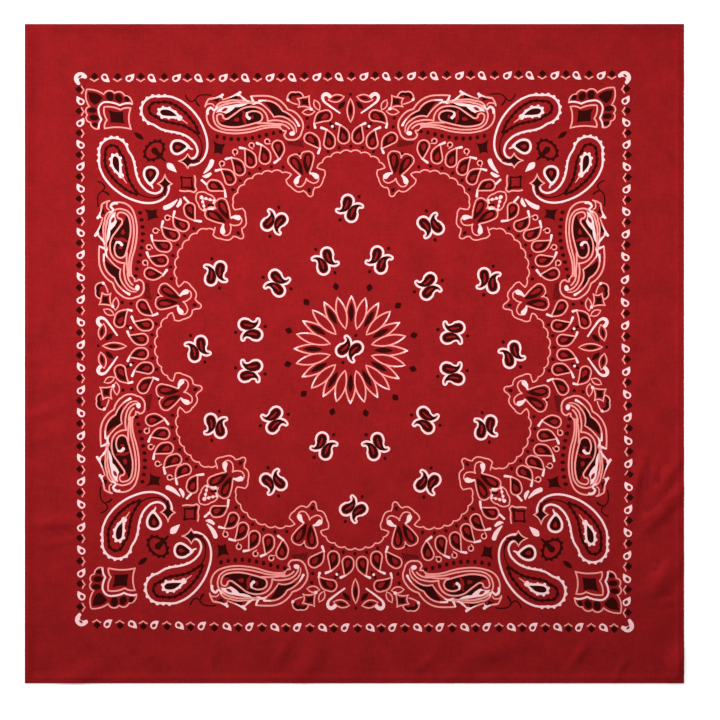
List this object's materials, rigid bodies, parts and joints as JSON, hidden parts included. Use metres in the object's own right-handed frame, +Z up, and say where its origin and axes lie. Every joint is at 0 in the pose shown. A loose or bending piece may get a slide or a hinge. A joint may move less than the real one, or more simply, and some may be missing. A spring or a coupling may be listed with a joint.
{
  "type": "bandana",
  "caption": "Square red cotton bandana with a white and black paisley print and narrow turned hems, laid out flat face up.",
  "frame": {"origin": "middle of the square, on the flat surface that the cloth lies on", "axes": "+Z up out of the printed face, +X to the right and +Y to the top edge of the laid-out cloth"},
  "size_m": [0.559, 0.559, 0.0043],
  "materials": {
    "printed_cotton": "plain-woven red cotton, printed on the face in white and black, matt with a faint slub",
    "hem_cotton": "the wrong side of the same red cotton, matt and a little duller"
  },
  "bodies": {
    "root": {"cloth_field": "printed_cotton", "hem_top": "hem_cotton", "hem_bottom": "hem_cotton", "hem_left": "hem_cotton", "hem_right": "hem_cotton"}
  },
  "joints": []
}
